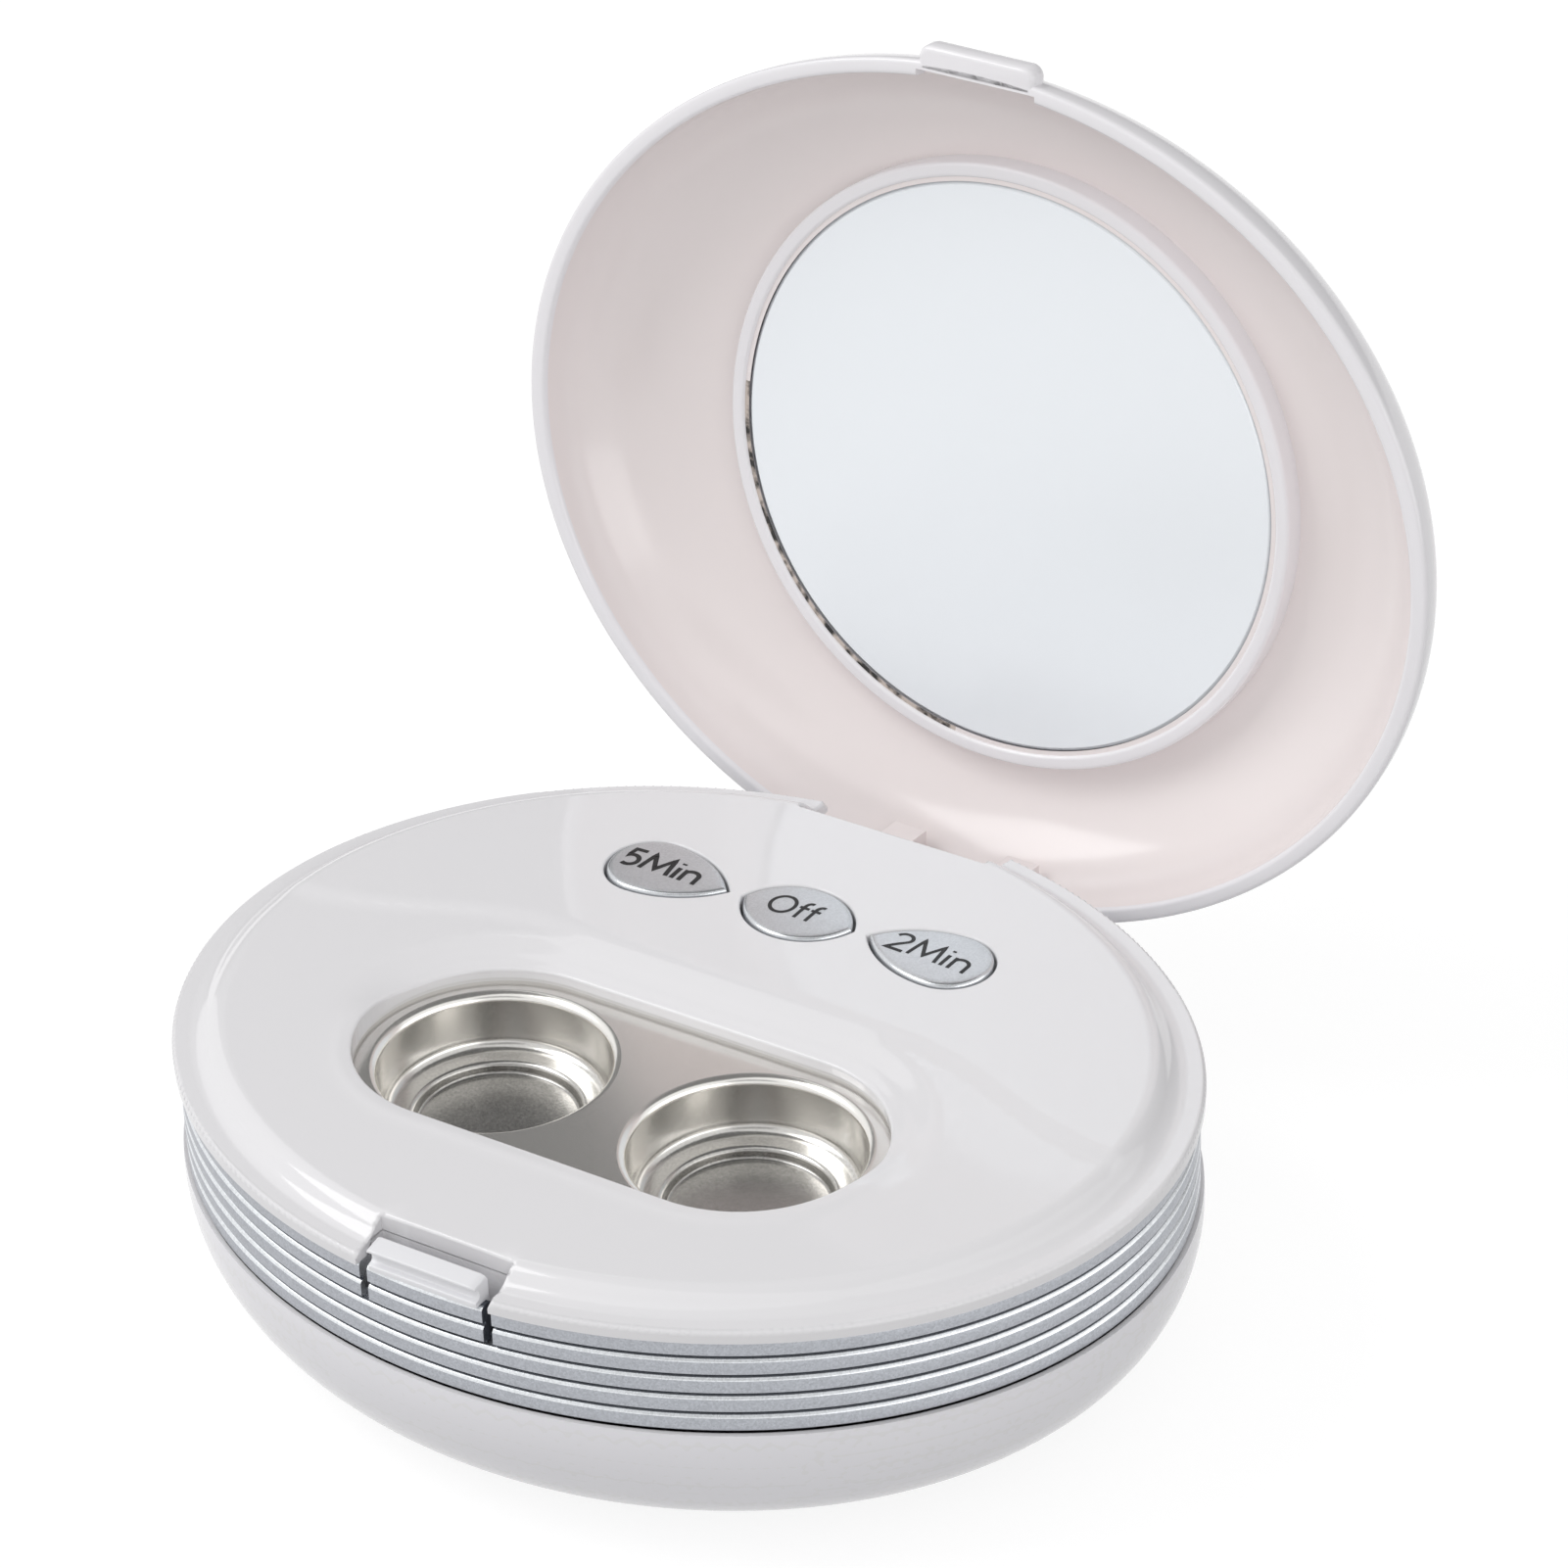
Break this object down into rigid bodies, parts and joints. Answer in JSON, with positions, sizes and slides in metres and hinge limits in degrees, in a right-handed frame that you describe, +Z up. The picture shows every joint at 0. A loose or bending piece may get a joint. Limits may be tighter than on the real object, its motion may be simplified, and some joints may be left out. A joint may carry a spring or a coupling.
{
  "type": "contact lens cleaner",
  "caption": "Oval battery lens cleaner: glossy deck with two steel cups in a beaded tray, three timer buttons, ribbed silver band, and a hinged lid with a round mirror.",
  "frame": {"origin": "on the table, under the middle of the oval body", "axes": "+Z up; +Y towards the lid's hinge at the back; +X along the two cups, to the user's right"},
  "size_m": [0.1, 0.1088, 0.1054],
  "materials": {
    "white_gloss": "glossy moulded ABS",
    "silver_paint": "metallic silver paint on plastic",
    "nickel": "satin nickel-plated pressing",
    "button_silver": "satin silver with a bright edge",
    "mirror_glass": "silvered glass",
    "pale_shell": "slightly translucent glossy plastic",
    "grey_rubber": "matte rubber",
    "foam": "adhesive foam",
    "gasket_rubber": "soft silicone",
    "steel": "bright zinc plate",
    "board_green": "solder mask",
    "black_plastic": "moulded",
    "brass": "bare",
    "copper_coil": "enamelled wire on a ferrite",
    "cell_wrap": "printed sleeve, left plain",
    "red_wire": "wire insulation"
  },
  "bodies": {
    "body": {"bottom_shell": "white_gloss", "silver_band": "silver_paint", "deck": "white_gloss", "cup_tray": "nickel", "tray_gasket": "gasket_rubber", "tray_screws": "steel", "transducer_left": "brass", "transducer_right": "brass", "transducer_leads_left": "red_wire", "transducer_leads_right": "red_wire", "switch_5min": "black_plastic", "switch_off": "black_plastic", "switch_2min": "black_plastic", "circuit_board": "board_green", "timer_chip": "black_plastic", "driver_coil": "copper_coil", "capacitor": "black_plastic", "board_screws": "steel", "battery_rear": "cell_wrap", "battery_front": "cell_wrap", "contact_positive": "steel", "contact_negative": "steel", "contact_link": "steel", "battery_springs": "steel", "battery_leads": "red_wire", "case_screws": "steel", "foot_front_left": "grey_rubber", "foot_front_right": "grey_rubber", "foot_rear_left": "grey_rubber", "foot_rear_right": "grey_rubber", "hinge_pin": "steel", "lid_spring": "steel"},
    "lid": {"lid_shell": "pale_shell", "mirror": "mirror_glass", "mirror_pad": "foam"},
    "latch": {"latch_face": "silver_paint", "latch_catch": "white_gloss"},
    "button_5min": {"button_5min": "button_silver"},
    "button_off": {"button_off": "button_silver"},
    "button_2min": {"button_2min": "button_silver"},
    "battery_door": {"battery_door": "white_gloss"}
  },
  "joints": [
    {"name": "lid_hinge", "type": "hinge", "parent": "body", "child": "lid", "pos_m": [0, 0.04, 0.0214], "axis": [1, 0, 0], "range_deg": [0, 95.6], "stiffness_Nm_per_rad": 0.01, "springref_deg": -28.65},
    {"name": "button_5min_press", "type": "slide", "parent": "body", "child": "button_5min", "axis": [0, 0, -1], "range_m": [0, 0.0005], "stiffness_N_per_m": 400, "springref_m": -0.0003},
    {"name": "button_off_press", "type": "slide", "parent": "body", "child": "button_off", "axis": [0, 0, -1], "range_m": [0, 0.0005], "stiffness_N_per_m": 400, "springref_m": -0.0003},
    {"name": "button_2min_press", "type": "slide", "parent": "body", "child": "button_2min", "axis": [0, 0, -1], "range_m": [0, 0.0005], "stiffness_N_per_m": 400, "springref_m": -0.0003},
    {"name": "latch_press", "type": "hinge", "parent": "body", "child": "latch", "pos_m": [0, -0.041, 0.02292], "axis": [-1, 0, 0], "range_deg": [0, 7], "stiffness_Nm_per_rad": 0.05, "springref_deg": -1.15},
    {"name": "battery_door_hinge", "type": "hinge", "parent": "body", "child": "battery_door", "pos_m": [-0.02735, 0, 0.00175], "axis": [0, 1, 0], "range_deg": [0, 70]}
  ]
}
